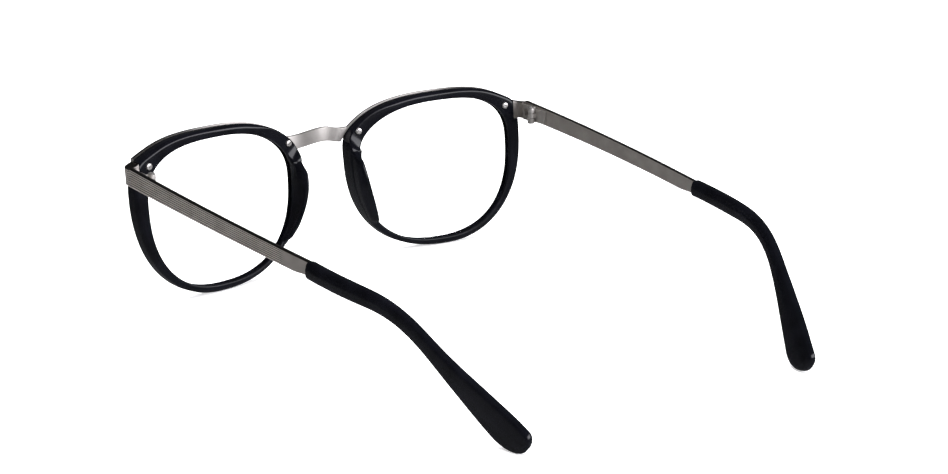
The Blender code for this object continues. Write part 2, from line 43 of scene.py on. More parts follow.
# ---- the frame's own geometry, in millimetres (the same rules as the CAD) ----------------------
MID_DEPTH = 71.559
RIM_CENTRE_HEIGHT = 27.038
TILT = math.radians(4.9)
WRAP_START, WRAP_SLOPE, WRAP_EASE = 12.0, 0.185, 0.00091
Outline = namedtuple("Outline", "x z temporal nasal up down rounding")
OPENING = Outline(34.71, -1.71, 22.3, 24.2, 14.47, 23.94, (2.75, 2.28, 2.41, 2.4))
OUTSIDE = Outline(35.9, -0.45, 24.6, 28.0, 15.65, 27.08, (2.8, 2.48, 2.33, 2.17))
SWELLS = ((26, 15, Vector((0.81, 0.95))), (162, 13, Vector((-0.6, 0.1))))
RIM_DEPTH = 3.48
NASAL_BUILD = 1.7
GROOVE_FRONT, GROOVE_BACK, LENS_GROOVE = 0.84, 2.64, 0.7
LENS_FRONT = 0.8               # from the groove's front wall to the lens's front edge
LENS_THICKNESS = 0.3           # thinner than the real lens, so that its edge stays out of sight
LENS_REACH, LENS_BULGE = 0.5, 1.5
PAD_TOP, PAD_BOTTOM = 2.2, -19.5
NOTCH_X, NOTCH_FLOOR = 58.5, 4.5
ENDPIECE_FLOOR, ENDPIECE_TOP, JOINT_DEPTH = 4.7, 9.2, 11.85
TEMPLE_THICKNESS, TEMPLE_END, FLUTE_END, LEAN_FADE = 1.2, 85.85, 75.0, 14.0
TIP_START, TIP_LENGTH = Vector((57.5, 85.7, 29.54)), 67.25
TIP_ANGLES = (math.radians(-5.29), math.radians(-43.22))
TIP_MOUTH, TIP_ROUNDS, TIP_NOSE = 0.4, (2.2, 7.0), (0.9, 1.5)
TIP_BEND_AT, TIP_BEND_RADIUS = 29.6, 34.8
HINGE = Vector((59.2, 16.61, 0.0))
KNUCKLES = ((32.48, 33.83), (33.98, 35.28), (35.43, 36.78))
KNUCKLE_RADIUS, KNUCKLE_BORE = 0.98, 0.56
LEAF = (60.45, 61.08)          # inner and outer face of the front leaf and its arms
FLUTES, FLUTE_DEPTH = 7, 0.3
SCREW_HEIGHT, SCREW_SHANK = 0.42, 0.5
SLOT_HALF_WIDTH, SLOT_DEPTH = 0.17, 0.32
RIM_SCREWS = {"nasal": (11.1, 7.25), "temporal": (55.85, 8.73)}

BROW_TURNS = (math.radians(16), math.radians(163))
BROW_FRONT, BROW_BACK, BROW_INSET, BROW_PROUD = -1.2, -0.05, 0.5, 0.2
BRIDGE_END, BRIDGE_RISE = (-1.13, 33.4), (2.85, 1.82)
BRIDGE_HEIGHT, BRIDGE_THICKNESS = 3.89, 1.2
BRIDGE_HALF_LENGTH, BRIDGE_FLARE = 8.4, 2.2
BRIDGE_FOOT = 9                # the rise starts this far off the middle

CAMERA_AT = Vector((298.07, 471.94 - MID_DEPTH, 173.03))
CAMERA_TARGET = Vector((-22.073, 39.97 - MID_DEPTH, 11.74))
CAMERA_ROLL_UP = Vector((0, 0.00152, 1))
CAMERA_LENS = 81.19
CAMERA_SHIFT = (0.00027, -0.00019)


# ---- mesh helpers ------------------------------------------------------------------------------
def new_object(name, bm):
    bmesh.ops.recalc_face_normals(bm, faces=bm.faces[:])
    mesh = bpy.data.meshes.new(name)
    bm.to_mesh(mesh)
    bm.free()
    made = bpy.data.objects.new(name, mesh)
    bpy.context.scene.collection.objects.link(made)
    return made


def skin(name, rings, ring_closed=False, painted_shades=None):
    """Joins rings of points, each with as many points, and caps both ends unless they meet.

    The painted shade values, one list for each ring, are kept on the points as a point attribute of painted
    shade.
    """
    bm = bmesh.new()
    layer = bm.verts.layers.float.new("painted_shade") if painted_shades else None
    loops = [[bm.verts.new(Vector(point) * MM) for point in ring] for ring in rings]
    if painted_shades:
        for loop, values in zip(loops, painted_shades):
            for vertex, value in zip(loop, values):
                vertex[layer] = value
    pairs = list(zip(loops, loops[1:]))
    if ring_closed:
        pairs.append((loops[-1], loops[0]))
    for first, second in pairs:
        for i in range(len(first)):
            bm.faces.new((first[i - 1], first[i], second[i], second[i - 1]))
    if not ring_closed:
        bm.faces.new(loops[0])
        bm.faces.new(loops[-1])
    return new_object(name, bm)


def box(name, low, high):
    bm = bmesh.new()
    size = [(b - a) * MM for a, b in zip(low, high)]
    centre = [(a + b) / 2 * MM for a, b in zip(low, high)]
    bmesh.ops.create_cube(bm, size=1.0, matrix=Matrix.Translation(centre) @ Matrix.Diagonal((*size, 1.0)))
    return new_object(name, bm)


def in_metres(place):
    moved = place.copy()
    moved.translation *= MM
    return moved


def cylinder(name, radius, bottom, top, place=Matrix(), top_radius=None, sides=64):
    bm = bmesh.new()
    upper = radius if top_radius is None else top_radius
    bmesh.ops.create_cone(bm, cap_ends=True, segments=sides, radius1=radius * MM, radius2=upper * MM,
                          depth=(top - bottom) * MM)
    to_place = in_metres(place @ Matrix.Translation((0, 0, (bottom + top) / 2)))
    bmesh.ops.transform(bm, matrix=to_place, verts=bm.verts[:])
    return new_object(name, bm)


def apply_modifiers(target):
    bpy.context.view_layer.update()
    evaluated = target.evaluated_get(bpy.context.evaluated_depsgraph_get())
    mesh = bpy.data.meshes.new_from_object(evaluated)
    target.modifiers.clear()
    target.data = mesh
    return target


def combine(target, other, operation):
    modifier = target.modifiers.new(operation.lower(), "BOOLEAN")
    modifier.object = other
    modifier.operation = operation
    modifier.solver = "EXACT"
    apply_modifiers(target)
    bpy.data.objects.remove(other, do_unlink=True)
    return target


def soften(target, width, segments=3, angle=30):
    """Rounds the sharp edges by a width in millimetres."""
    modifier = target.modifiers.new("soften", "BEVEL")
    modifier.width = width * MM
    modifier.segments = segments
    modifier.limit_method = "ANGLE"
    modifier.angle_limit = math.radians(angle)
    modifier.harden_normals = False
    return apply_modifiers(target)


def mirrored(source, name):
    bm = bmesh.new()
    bm.from_mesh(source.data)
    bmesh.ops.scale(bm, vec=(-1, 1, 1), verts=bm.verts[:])
    bmesh.ops.reverse_faces(bm, faces=bm.faces[:])
    return new_object(name, bm)


def smooth_step(value, start, end):
    share = min(1.0, max(0.0, (value - start) / (end - start)))
    return share * share * (3 - 2 * share)


def filleted(corners, segments=5):
    """A closed outline with each corner (x, y, radius) rounded by an arc of that radius."""
    points = []
    for i, (x, y, radius) in enumerate(corners):
        here = Vector((x, y))
        before = Vector(corners[i - 1][:2]) - here
        after = Vector(corners[(i + 1) % len(corners)][:2]) - here
        opening = before.angle(after) / 2
        reach = min(radius / math.tan(opening), 0.48 * before.length, 0.48 * after.length)
        start = here + before.normalized() * reach
        end = here + after.normalized() * reach
        for k in range(segments + 1):
            t = k / segments
            points.append(start * (1 - t) ** 2 + here * (2 * t * (1 - t)) + end * t * t)
    return points


def through(points, share):
    """A point on a smooth curve through the given points, at a share of the way along them."""
    spans = len(points) - 1
    at = min(share * spans, spans - 1e-9)
    i = int(at)
    t = at - i
    a = points[max(i - 1, 0)]
    b = points[i]
    c = points[i + 1]
    d = points[min(i + 2, spans)]
    return [0.5 * (2 * q + (r - p) * t + (2 * p - 5 * q + 4 * r - s) * t * t
                   + (3 * q - p - 3 * r + s) * t ** 3)
            for p, q, r, s in zip(a, b, c, d)]


# ---- surfaces and curves that several pieces follow --------------------------------------------
def tilted(x, back, z):
    y = back * math.cos(TILT) - z * math.sin(TILT)
    up = back * math.sin(TILT) + z * math.cos(TILT)
    return Vector((x, y - MID_DEPTH, up + RIM_CENTRE_HEIGHT))


def on_front(x, z, depth):
    along = x - WRAP_START
    return tilted(x, WRAP_SLOPE * along - WRAP_EASE * along * along + depth, z)


def outline_point(outline, turn):
    cosine, sine = math.cos(turn), math.sin(turn)
    upper, outer = sine > 0, cosine > 0
    quarter = (0 if outer else 1) if upper else (3 if outer else 2)
    power = 2 / outline.rounding[quarter]
    x = math.copysign(abs(cosine) ** power, cosine) * (outline.temporal if outer else outline.nasal)
    z = math.copysign(abs(sine) ** power, sine) * (outline.up if upper else outline.down)
    return Vector((outline.x + x, outline.z + z))


def outside_point(turn):
    point = outline_point(OUTSIDE, turn)
    for middle, spread, swell in SWELLS:
        away = math.remainder(turn - math.radians(middle), 2 * math.pi) / math.radians(spread)
        point += swell * math.exp(-away * away)
    return point


def rim_back(point):
    down_to_pad = smooth_step(-point.y, -6.2, -PAD_TOP)
    below_pad = smooth_step(point.y, -19.0, -14.0)
    under_pad = smooth_step(-point.x, -20.0, -14.0)
    above_pad = smooth_step(-point.x, -13.0, -8.0)
    nasal_side = under_pad + (above_pad - under_pad) * smooth_step(point.y, 1.5, 3.0)
    return RIM_DEPTH + NASAL_BUILD * down_to_pad * below_pad * nasal_side


def across_rim(turn):
    inner = outline_point(OPENING, turn)
    across = outside_point(turn) - inner
    return inner, across.normalized(), across.length


def nasal_edge(outline, z):
    up = z > outline.z
    power = outline.rounding[1 if up else 2]
    reach = abs(z - outline.z) / (outline.up if up else outline.down)
    return outline.x - outline.nasal * (1 - reach ** power) ** (1 / power)


def even_turns(count):
    """Equally spaced turns round a circle or a rim."""
    return [2 * math.pi * i / count for i in range(count)]


# ---- rims, lenses, pads ------------------------------------------------------------------------
def draft(turn, inner_x, outward, depth):
    """How far out the rim's temporal side stands: the front more than the back, most by the endpiece."""
    away = math.remainder(turn - math.radians(3), 2 * math.pi) / math.radians(13)
    by_endpiece = 0.3 * outward * (1 - depth / RIM_DEPTH) * math.exp(-away * away)
    return smooth_step(inner_x, 38, 54) * (0.3 - 0.16 * depth) + by_endpiece


def rim_section(turn):
    inner, across, width = across_rim(turn)
    soft = 0.45 + 0.3 * smooth_step(inner.y, 0.5, 3.0) * smooth_step(-inner.x, -24.0, -18.0)
    crisp = smooth_step(-inner.x, -24.0, -17.0) * smooth_step(inner.y, -2.0, 2.0)
    bevel = 0.75 - 0.5 * crisp
    corners = [(0, 0, 0.45), (width, 0, 0.7), (width, 1, 1.1 * bevel), (width - bevel, 2, 1.5 * bevel),
               (0, 3, soft + 0.3),
               (0, GROOVE_BACK, 0.05), (LENS_GROOVE, GROOVE_BACK, 0.05), (LENS_GROOVE, GROOVE_FRONT, 0.05),
               (0, GROOVE_FRONT, 0.05)]
    middle = inner + across * width / 2
    back = rim_back(middle)
    heights = {1: back - 0.8 * bevel, 2: back, 3: back}
    shaped = [(out, heights.get(depth, depth), radius) for out, depth, radius in corners]
    ring = []
    for out, depth in filleted(shaped, 6):
        point = inner + across * out
        depth += rim_back(point) - back if depth > GROOVE_BACK else 0
        ring.append(on_front(point.x + draft(turn, inner.x, out / width, depth), point.y, depth))
    return ring


def leaning_box(name, low, high):
    made = box(name, low, high)
    lean = Matrix.Rotation(TILT, 4, "X")
    made.data.transform(Matrix.Translation(Vector((0, -MID_DEPTH, RIM_CENTRE_HEIGHT)) * MM) @ lean)
    return made


def make_rim():
    rim = skin("rim_left", [rim_section(turn) for turn in even_turns(220)], ring_closed=True)
    notch = leaning_box("notch", (NOTCH_X, -5, NOTCH_FLOOR), (NOTCH_X + 6, 20, NOTCH_FLOOR + 12))
    combine(rim, notch, "DIFFERENCE")
    for x, z in RIM_SCREWS.values():
        combine(rim, cylinder("seat", 1.0, -0.3, 3, rim_place(x, z)), "DIFFERENCE")
    return rim


def make_lens():
    middle = Vector((OPENING.x, OPENING.z))
    front = GROOVE_FRONT + LENS_FRONT
    shares = [0.06, 0.2, 0.35, 0.5, 0.65, 0.8, 0.92, 1.0]
    rings = []
    for depth, order in ((front, shares), (front + LENS_THICKNESS, shares[::-1])):
        for share in order:
            ring = []
            for turn in even_turns(128):
                inner, across, _ = across_rim(turn)
                point = middle + (inner + across * LENS_REACH - middle) * share
                ring.append(on_front(point.x, point.y, depth - LENS_BULGE * (1 - share * share)))
            rings.append(ring)
    return skin("lens_left", rings)


def pad_ridge(z):
    below = PAD_TOP - z
    x = 8.65 + 0.0175 * below * below - 0.0002 * below ** 3
    depth = 8.4 - 0.04 * (z + 5.5) ** 2 * (1.0 if z > -5.5 else 0.68)
    return x, depth + 1.2


def make_nose_pad():
    rings = []
    count = 60
    for i in range(count):
        share = i / (count - 1)
        z = PAD_TOP + (PAD_BOTTOM - PAD_TOP) * share
        ridge_x, crest = pad_ridge(z)
        nose_x = nasal_edge(OUTSIDE, z) + 0.12
        eye_x = nasal_edge(OPENING, z) - 0.12
        base = rim_back(Vector((nose_x, z))) - 0.35
        start = 0.2 + 0.8 * smooth_step(PAD_TOP - z, -0.6, 3.2)
        end = smooth_step(PAD_BOTTOM - z, 0, -2.2)
        crest = base + 0.05 + (crest - base) * start * end
        rise = crest - base
        half = min(1.2, (eye_x - nose_x) / 2)
        section = [(nose_x, base, 0.05), (nose_x + 0.02, base + 0.45 * rise, 1.5),
                   (ridge_x - half * 0.2, crest, 1.1),
                   (ridge_x + half * 0.6, crest - 0.15 * rise, 1.1), (eye_x, base + 0.12 * rise, 0.4),
                   (eye_x, base, 0.05)]
        rings.append([on_front(x, z, depth) for x, depth in filleted(section, 6)])
    return skin("nose_pad_left", rings)


# ---- brow, bridge and endpiece -----------------------------------------------------------------
def make_brow_bar():
    """The bar's outer edge carries painted shade towards the temple, standing in for the dark reflection
    there.
    """
    rings, painted_shades = [], []
    count = 160
    first, last = BROW_TURNS
    for i in range(count):
        turn = first + (last - first) * i / (count - 1)
        inner, across, width = across_rim(turn)
        top = width + BROW_PROUD
        section = [(BROW_INSET, BROW_BACK, 0.05), (top, BROW_BACK, 0.05),
                   (top, BROW_FRONT, 0.3), (BROW_INSET, BROW_FRONT, 0.3)]
        ring, painted_shade = [], []
        painted_shade_amount = 0.95 * smooth_step(inner.x, 28, 42)
        for out, depth in filleted(section, 4):
            point = inner + across * out
            ring.append(on_front(point.x + draft(turn, inner.x, out / width, depth), point.y, depth))
            # Painted shade on the top face, growing towards the temple.
            painted_shade.append(painted_shade_amount if out > width and depth > BROW_FRONT + 0.1 else 0.0)
        rings.append(ring)
        painted_shades.append(painted_shade)
    bar = skin("brow_bar_left", rings, painted_shades=painted_shades)
    past_endpiece = box("past_endpiece", (NOTCH_X + 0.1, -80, 20), (NOTCH_X + 6, 0, 50))
    return combine(bar, past_endpiece, "DIFFERENCE")


def make_bridge():
    rings = []
    count = 97
    for i in range(count):
        side = 2 * i / (count - 1) - 1
        thick, tall = BRIDGE_THICKNESS / 2, BRIDGE_HEIGHT / 2
        section = [(-thick, -tall, 0.35), (-thick, tall, 0.35), (thick, tall, 0.3), (thick, -tall, 0.35)]
        ring = []
        for deep, high in filleted(section, 5):
            x = side * (BRIDGE_HALF_LENGTH + BRIDGE_FLARE * high / BRIDGE_HEIGHT)
            rise = max(0.0, 1 - (x / BRIDGE_FOOT) ** 2) ** 3
            y = BRIDGE_END[0] + BRIDGE_RISE[0] * rise + deep - MID_DEPTH
            ring.append((x, y, BRIDGE_END[1] + BRIDGE_RISE[1] * rise + high))
        rings.append(ring)
    return skin("bridge", rings)


def fluted(flute_depth, steps=8):
    """Points up a face with seven rounded grooves: height (0 to 1), inward step in mm, painted shade (darkest
    in the grooves and along the top edge, part dark over the face where the grooves fade out).
    """
    deep = flute_depth / FLUTE_DEPTH
    # Painted shade over the plain face, strongest where the grooves fade out.
    painted_shade_on_plain = 0.45 * (1 - deep)
    points = [(0.0, 0.2, 0.5), (0.012, 0.08, 0.4), (0.035, 0.0, painted_shade_on_plain)]
    margin = 0.07
    pitch = (1 - 2 * margin) / FLUTES
    for k in range(FLUTES):
        for j in range(steps + 1):
            across = j / steps
            hollow = math.sin(math.pi * across) if 0 < j < steps else 0.0
            points.append((margin + pitch * (k + 0.24 + 0.52 * across), flute_depth * hollow,
                           painted_shade_on_plain + deep * smooth_step(hollow, 0.1, 0.6)))
    return points + [(0.935, 0.0, painted_shade_on_plain), (0.96, 0.0, 0.8), (0.988, 0.08, 1.0), (1.0, 0.2, 1.0)]


# across the endpiece from the front round to the side: outer x and y, inner x and y, top
ENDPIECE_PLAN = ((58.7, 5.46, 58.7, 9.95, 9.9), (59.9, 5.72, 59.2, 9.95, 9.55),
                 (60.85, 6.45, 59.7, 9.95, 9.35), (61.45, 7.5, 60.1, 9.95, 9.25),
                 (61.85, 8.8, 60.41, 9.98, 9.2), (62.15, 10.1, 60.41, 10.6, 9.2),
                 (62.48, 11.85, 60.41, 11.85, 9.2))


def make_endpiece():
    rings, painted_shades = [], []
    count = 31
    for i in range(count):
        outer_x, outer_y, inner_x, inner_y, top = through(ENDPIECE_PLAN, i / (count - 1))
        start, end = Vector((outer_x, outer_y)), Vector((inner_x, inner_y))
        inward = (end - start).normalized()
        ring = []
        face = fluted(FLUTE_DEPTH * smooth_step(i, 0, 5))
        for share, step, _ in face:
            point = start + inward * step
            ring.append(tilted(point.x, point.y, ENDPIECE_FLOOR + (top - ENDPIECE_FLOOR) * share))
        for share in (1, 0.95, 0):
            ring.append(tilted(end.x, end.y, ENDPIECE_FLOOR + (top - ENDPIECE_FLOOR) * share))
        rings.append(ring)
        # Painted shade: the top fully darkened and the inner face partly, standing in for dark reflections
        # there.
        painted_shades.append([painted_shade for _, _, painted_shade in face] + [1.0, 0.6, 0.6])
    return skin("endpiece_left", rings, painted_shades=painted_shades)


# ---- temple and tip ----------------------------------------------------------------------------
def temple_line(y):
    t = (y - 50) / 40
    x = 60.47 - 2.46 * t - 1.03 * t * t
    bottom = 30.343 - 2.81 * t - 0.35 * t * t + 0.45 * smooth_step(y, 80, TEMPLE_END)
    top = 34.503 - 3.3 * t - 0.19 * t * t
    return x, bottom, top


def make_temple():
    start = JOINT_DEPTH * math.cos(TILT) - 7 * math.sin(TILT) + 0.12
    rings, painted_shades = [], []
    count = 90
    for i in range(count):
        y = start + (TEMPLE_END + 0.15 - start) * i / (count - 1)
        x, bottom, top = temple_line(y)
        depth = FLUTE_DEPTH * (1 - smooth_step(y, FLUTE_END - 1, FLUTE_END + 3))
        lean = math.tan(TILT) * (1 - smooth_step(y, start, start + LEAN_FADE))
        half = TEMPLE_THICKNESS / 2
        sides = [(share, half - step, painted_shade) for share, step, painted_shade in fluted(depth)]
        # Painted shade: the top edge fully darkened and the inner face half, standing in for dark
        # reflections.
        sides += [(1.0, -half + 0.12, 1.0), (0.985, -half, 0.9), (0.95, -half, 0.5), (0.03, -half, 0.5),
                  (0.015, -half, 0.5), (0.0, -half + 0.12, 0.5)]
        ring = []
        for share, out, _ in sides:
            up = (top - bottom) * (share - 0.5)
            ring.append((x + out, y - lean * up - MID_DEPTH, (bottom + top) / 2 + up))
        rings.append(ring)
        painted_shades.append([painted_shade for _, _, painted_shade in sides])
    return skin("temple_left", rings, painted_shades=painted_shades)


def tip_frame(distance, steps=60):
    half = abs(TIP_BEND_RADIUS * (TIP_ANGLES[0] - TIP_ANGLES[1]) / 2)
    centre = TIP_START.copy()
    angle = TIP_ANGLES[0]
    length = distance / steps
    for i in range(steps):
        bend = smooth_step((i + 0.5) * length, TIP_BEND_AT - half, TIP_BEND_AT + half)
        angle = TIP_ANGLES[0] + (TIP_ANGLES[1] - TIP_ANGLES[0]) * bend
        centre += Vector((0, math.cos(angle), math.sin(angle))) * length
    u = distance / 60
    centre.x += -1.16 * u - 15.17 * u * u + 2.18 * u ** 3 + 0.3 * smooth_step(distance, 50, 66)
    curl = (-1.16 - 30.34 * u + 6.54 * u * u) / 60
    along = Vector((curl, math.cos(angle), math.sin(angle))).normalized()
    outward = along.cross(Vector((-0.02 * u, -math.sin(angle), math.cos(angle)))).normalized()
    centre.y -= MID_DEPTH
    return centre, outward, outward.cross(along).normalized()


def tip_edges(distance):
    half = 2.15 - 0.15 * smooth_step(distance, 14, 32) + 2.6 * smooth_step(distance, 35, 66)
    upper, lower = [1 - 0.98 * tip_closing(distance, rounding) for rounding in TIP_ROUNDS]
    return TIP_NOSE[1] - (half + TIP_NOSE[1]) * lower, TIP_NOSE[1] + (half - TIP_NOSE[1]) * upper


def tip_half_thickness(distance):
    return (1.55 - 0.25 * smooth_step(distance, 10, 32)) * (1 - 0.8 * tip_closing(distance, 1.5))


def tip_closing(distance, rounding):
    """0 along the tip, then following a quarter circle to 1 at its end."""
    past = max(0.0, (rounding - TIP_LENGTH + distance) / rounding)
    return 1 - math.sqrt(max(0.0, 1 - past * past))


def tip_section(distance, shrink=1.0):
    """Rounded, with a soft ridge half way up both faces that fades out along the paddle."""
    centre, outward, up = tip_frame(distance)
    low, high = tip_edges(distance)
    centre += outward * TIP_NOSE[0] * tip_closing(distance, TIP_ROUNDS[1]) + up * (low + high) / 2
    a = tip_half_thickness(distance) * shrink
    b = (high - low) / 2 * shrink
    ridge = 1 - smooth_step(distance, 30, 50)
    crown = 0.9 * min(a, b)
    corners = [(a, 0.12 * b, a * (0.45 + 0.6 * (1 - ridge))), (a * (0.86 - 0.12 * ridge), b, crown),
               (-a * (0.86 - 0.12 * ridge), b, crown), (-a, 0.12 * b, a * (0.8 + 0.4 * (1 - ridge))),
               (-a * 0.9, -0.955 * b, crown), (a * 0.9, -0.955 * b, crown)]
    return [centre + outward * x + up * z for x, z in filleted(corners, 7)]


def make_tip():
    count = 120
    rings = []
    for i in range(count):
        share = i / (count - 1)
        back_off = (1 - math.cos(share * math.pi / 2)) ** 0.9
        distance = TIP_LENGTH - 0.06 - (TIP_LENGTH - TIP_MOUTH - 0.86) * back_off
        rings.append(tip_section(distance))
    for k in range(1, 7):
        turn = math.pi / 2 * k / 6
        rings.append(tip_section(TIP_MOUTH + 0.8 * (1 - math.sin(turn)), 0.78 + 0.22 * math.cos(turn)))
    return skin("temple_tip_left", rings)


# ---- hinges and screws -------------------------------------------------------------------------
def hinge_place():
    return Matrix.Translation(HINGE - Vector((0, MID_DEPTH, 0)))


def add_knuckle(hinge, bottom, top):
    combine(hinge, cylinder("knuckle", KNUCKLE_RADIUS, bottom, top, hinge_place(), sides=40), "UNION")


def bored(hinge):
    """Drills the knuckles for the screw and rounds the edges."""
    combine(hinge, cylinder("bore", KNUCKLE_BORE, 30, 40, hinge_place(), sides=40), "DIFFERENCE")
    return soften(hinge, 0.09)


def make_front_hinge():
    axis = HINGE.y - MID_DEPTH
    seat = JOINT_DEPTH + 0.05
    hinge = leaning_box("hinge_front_left", (LEAF[0], seat, 4.4), (LEAF[1], seat + 1.0, 8.7))
    for bottom, top in (KNUCKLES[0], KNUCKLES[2]):
        combine(hinge, box("arm", (LEAF[0], 12.0 - MID_DEPTH, bottom), (LEAF[1], axis - 0.1, top)), "UNION")
        combine(hinge, box("web", (HINGE.x, axis - 0.8, bottom), (LEAF[1], axis - 0.1, top)), "UNION")
        add_knuckle(hinge, bottom, top)
    return bored(hinge)


def make_rear_hinge():
    axis = HINGE.y - MID_DEPTH
    bottom, top = KNUCKLES[1]
    leaf_x = temple_line(HINGE.y + 4.6)[0] - TEMPLE_THICKNESS / 2 - 0.05
    hinge = box("hinge_rear_left", (HINGE.x + 1.2, axis + 0.35, KNUCKLES[0][0] + 0.2),
                (leaf_x, axis + 4.4, KNUCKLES[2][1] - 0.4))
    combine(hinge, box("web", (HINGE.x, axis + 0.1, bottom), (leaf_x, axis + 0.9, top)), "UNION")
    add_knuckle(hinge, bottom, top)
    return bored(hinge)


def domed_screw(name, place, radius, height, shank_radius, shank_length, seat):
    """A screw with a low dome, a straight slot across it and a plain shank."""
    sides = 48
    profile = [(0.02, -shank_length), (shank_radius, -shank_length), (shank_radius, seat), (radius, seat)]
    for k in range(1, 8):
        turn = math.pi / 2 * k / 7
        profile.append((max(0.02, radius * math.cos(turn) ** 0.45),
                        seat + (height - seat) * (0.7 + 0.3 * math.sin(turn))))
    rings = [[place @ Vector((r * math.cos(turn), r * math.sin(turn), z)) for turn in even_turns(sides)]
             for r, z in profile]
    screw = skin(name, rings)
    slot = box("slot", (-2, -SLOT_HALF_WIDTH, height - SLOT_DEPTH), (2, SLOT_HALF_WIDTH, height + 1))
    slot.data.transform(in_metres(place))
    return combine(screw, slot, "DIFFERENCE")


def rim_place(x, z):
    seat = on_front(x, z, RIM_DEPTH)
    sideways = (on_front(x + 0.5, z, RIM_DEPTH) - on_front(x - 0.5, z, RIM_DEPTH)).normalized()
    upwards = (on_front(x, z + 0.5, RIM_DEPTH) - on_front(x, z - 0.5, RIM_DEPTH)).normalized()
    out = upwards.cross(sideways)
    turned = Matrix((sideways, out.cross(sideways), out)).transposed().to_4x4()
    return Matrix.Translation(seat) @ turned @ Matrix.Rotation(math.radians(35), 4, "Z")


def make_rim_screw(spot):
    place = rim_place(*RIM_SCREWS[spot])
    length = RIM_DEPTH + 0.4
    return domed_screw(f"rim_screw_{spot}_left", place, 0.85, SCREW_HEIGHT, SCREW_SHANK, length, -0.28)


def make_hinge_screw():
    top = KNUCKLES[2][1]
    place = hinge_place() @ Matrix.Translation((0, 0, top)) @ Matrix.Rotation(math.radians(30), 4, "Z")
    length = top - KNUCKLES[0][0] - 0.1
    return domed_screw("hinge_screw_left", place, 0.8, SCREW_HEIGHT, SCREW_SHANK, length, 0.04)


# ---- materials ---------------------------------------------------------------------------------
def new_material(name, colour, roughness, metallic=0.0):
    made = bpy.data.materials.new(name)
    made.use_nodes = True
    nodes = made.node_tree.nodes
    shader = nodes["Principled BSDF"]
    shader.inputs["Base Color"].default_value = (*colour, 1.0)
    shader.inputs["Roughness"].default_value = roughness
    shader.inputs["Metallic"].default_value = metallic
    return made, nodes, made.node_tree.links, shader


def noise(nodes, links, scale, detail, stretch=(1, 1, 1)):
    coordinates = nodes.new("ShaderNodeTexCoord")
    mapping = nodes.new("ShaderNodeMapping")
    mapping.inputs["Scale"].default_value = stretch
    texture = nodes.new("ShaderNodeTexNoise")
    texture.inputs["Scale"].default_value = scale
    texture.inputs["Detail"].default_value = detail
    links.new(coordinates.outputs["Object"], mapping.inputs["Vector"])
    links.new(mapping.outputs["Vector"], texture.inputs["Vector"])
    return texture.outputs["Fac"]


def remap(nodes, links, source, low, high):
    node = nodes.new("ShaderNodeMapRange")
    node.inputs["From Min"].default_value = 0.3
    node.inputs["From Max"].default_value = 0.7
    node.inputs["To Min"].default_value = low
    node.inputs["To Max"].default_value = high
    links.new(source, node.inputs["Value"])
    return node.outputs["Result"]


def two_colours(nodes, links, source, first, second):
    node = nodes.new("ShaderNodeValToRGB")
    node.color_ramp.elements[0].position = 0.35
    node.color_ramp.elements[0].color = (*first, 1)
    node.color_ramp.elements[1].position = 0.65
    node.color_ramp.elements[1].color = (*second, 1)
    links.new(source, node.inputs["Fac"])
    return node.outputs["Color"]


def bump(nodes, links, shader, source, distance, strength=1.0):
    node = nodes.new("ShaderNodeBump")
    node.inputs["Distance"].default_value = distance
    node.inputs["Strength"].default_value = strength
    links.new(source, node.inputs["Height"])
    links.new(node.outputs["Normal"], shader.inputs["Normal"])


def acetate():
    """Polished black acetate with a navy cast and the faintest cloudiness."""
    made, nodes, links, shader = new_material("acetate", (0.003, 0.004, 0.008), 0.09)
    cloud = noise(nodes, links, 160, 4)
    links.new(two_colours(nodes, links, cloud, (0.0019, 0.002, 0.003), (0.0036, 0.0038, 0.0058)),
              shader.inputs["Base Color"])
    links.new(remap(nodes, links, noise(nodes, links, 120, 2), 0.15, 0.2), shader.inputs["Roughness"])
    shader.inputs["IOR"].default_value = 1.5
    shader.inputs["Specular IOR Level"].default_value = 0.2
    return made


def tarnish_and_painted_shade(nodes, links, shader, dark, light, painted_shade_colour):
    """Uneven plating between two colours, with painted shade mixed in by the points' painted shade value:
    fully the dark shade colour at 1.
    """
    plating = two_colours(nodes, links, noise(nodes, links, 260, 5), dark, light)
    painted_shade = nodes.new("ShaderNodeAttribute")
    painted_shade.attribute_name = "painted_shade"
    mix = nodes.new("ShaderNodeMix")
    mix.data_type = "RGBA"
    mix.inputs["B"].default_value = (*painted_shade_colour, 1)
    links.new(painted_shade.outputs["Fac"], mix.inputs["Factor"])
    links.new(plating, mix.inputs["A"])
    links.new(mix.outputs["Result"], shader.inputs["Base Color"])


def plated(name, dark, light, metallic, rough, stretch, painted_shade_colour=(0.02, 0.018, 0.016)):
    """Satin plating: fine brushing along the piece, slight tarnish and the points' painted shade."""
    made, nodes, links, shader = new_material(name, light, rough[0], metallic)
    tarnish_and_painted_shade(nodes, links, shader, dark, light, painted_shade_colour)
    brush = noise(nodes, links, 900, 4, stretch)
    links.new(remap(nodes, links, brush, *rough), shader.inputs["Roughness"])
    bump(nodes, links, shader, brush, 0.000012, 0.3)
    return made


def clear_lens():
    """Clear plastic lens.  Shadow and reflection rays pass straight through it."""
    made, nodes, links, shader = new_material("lens", (1.0, 1.0, 1.0), 0.0)
    shader.inputs["Transmission Weight"].default_value = 1.0
    shader.inputs["IOR"].default_value = 1.2
    path = nodes.new("ShaderNodeLightPath")
    passing = nodes.new("ShaderNodeMath")
    passing.operation = "MAXIMUM"
    links.new(path.outputs["Is Shadow Ray"], passing.inputs[0])
    links.new(path.outputs["Is Glossy Ray"], passing.inputs[1])
    clear = nodes.new("ShaderNodeBsdfTransparent")
    mix = nodes.new("ShaderNodeMixShader")
    links.new(passing.outputs["Value"], mix.inputs["Fac"])
    links.new(shader.outputs["BSDF"], mix.inputs[1])
    links.new(clear.outputs["BSDF"], mix.inputs[2])
    links.new(mix.outputs["Shader"], nodes["Material Output"].inputs["Surface"])
    return made


# ---- putting it together -----------------------------------------------------------------------
def finish_piece(piece, finish, body, node):
    piece.data.materials.clear()
    piece.data.materials.append(finish)
    piece.data.shade_smooth()
    piece.data.set_sharp_from_angle(angle=math.radians(38))
    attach(piece, body)
    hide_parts(node)


